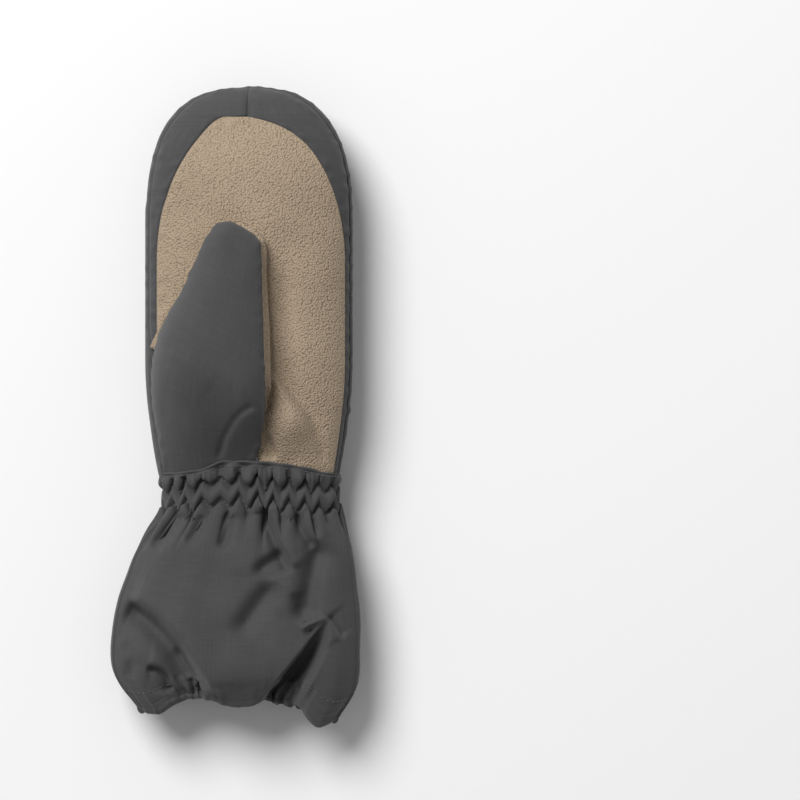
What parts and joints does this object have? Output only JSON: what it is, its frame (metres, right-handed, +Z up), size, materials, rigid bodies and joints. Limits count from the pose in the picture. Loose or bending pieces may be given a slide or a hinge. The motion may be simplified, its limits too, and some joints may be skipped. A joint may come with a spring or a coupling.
{
  "type": "ski mitten",
  "caption": "Child's padded ski mitten for the left hand: leather palm, thumb pouch, elastic wrist gather and a flared cuff open at the hem.",
  "frame": {"origin": "centre of the bounding box's underside, on the surface the mitten lies on", "axes": "+X to the little finger's side, +Y from the hem to the fingertip, +Z up out of the palm"},
  "size_m": [0.103, 0.263, 0.0606],
  "materials": {
    "shell_fabric": "matte dark grey woven shell",
    "palm_leather": "grained tan leather with a soft sheen",
    "padding": "matte fibre padding",
    "fleece_lining": "matte brushed fleece",
    "cuff_lining_fabric": "smooth woven lining",
    "elastic": "ribbed black tape",
    "thread": "dark grey twisted thread"
  },
  "bodies": {
    "hand": {"palm_patch": "palm_leather", "thumb_side_border": "shell_fabric", "finger_side_border": "shell_fabric", "back_panel": "shell_fabric", "thumb_base_panel": "shell_fabric", "palm_insulation": "padding", "back_insulation": "padding", "thumb_base_insulation": "padding", "palm_lining": "fleece_lining", "back_lining": "fleece_lining", "thumb_base_lining": "fleece_lining", "wrist_seam_stitches": "thread"},
    "thumb": {"thumb_back_panel": "shell_fabric", "thumb_palm_panel": "palm_leather", "thumb_insulation": "padding", "thumb_lining": "fleece_lining"},
    "gauntlet": {"wrist_casing": "shell_fabric", "wrist_lining": "fleece_lining", "wrist_elastic": "elastic", "wrist_zigzag_stitches": "thread", "cuff_palm_panel": "shell_fabric", "cuff_back_panel": "shell_fabric", "cuff_lining": "cuff_lining_fabric", "hem_casing": "shell_fabric", "hem_elastic": "elastic", "hem_stitches": "thread"}
  },
  "joints": [
    {"name": "thumb_lift", "type": "hinge", "parent": "hand", "child": "thumb", "pos_m": [-0.0115, 0.0141, 0.0615], "axis": [0.871, -0.4912, 0], "range_deg": [0, 45]},
    {"name": "wrist_bend", "type": "hinge", "parent": "hand", "child": "gauntlet", "pos_m": [0.006, -0.034, 0.019], "axis": [1, 0, 0], "range_deg": [-30, 30], "deforming": ["wrist_casing", "wrist_lining", "wrist_zigzag_stitches"]}
  ]
}
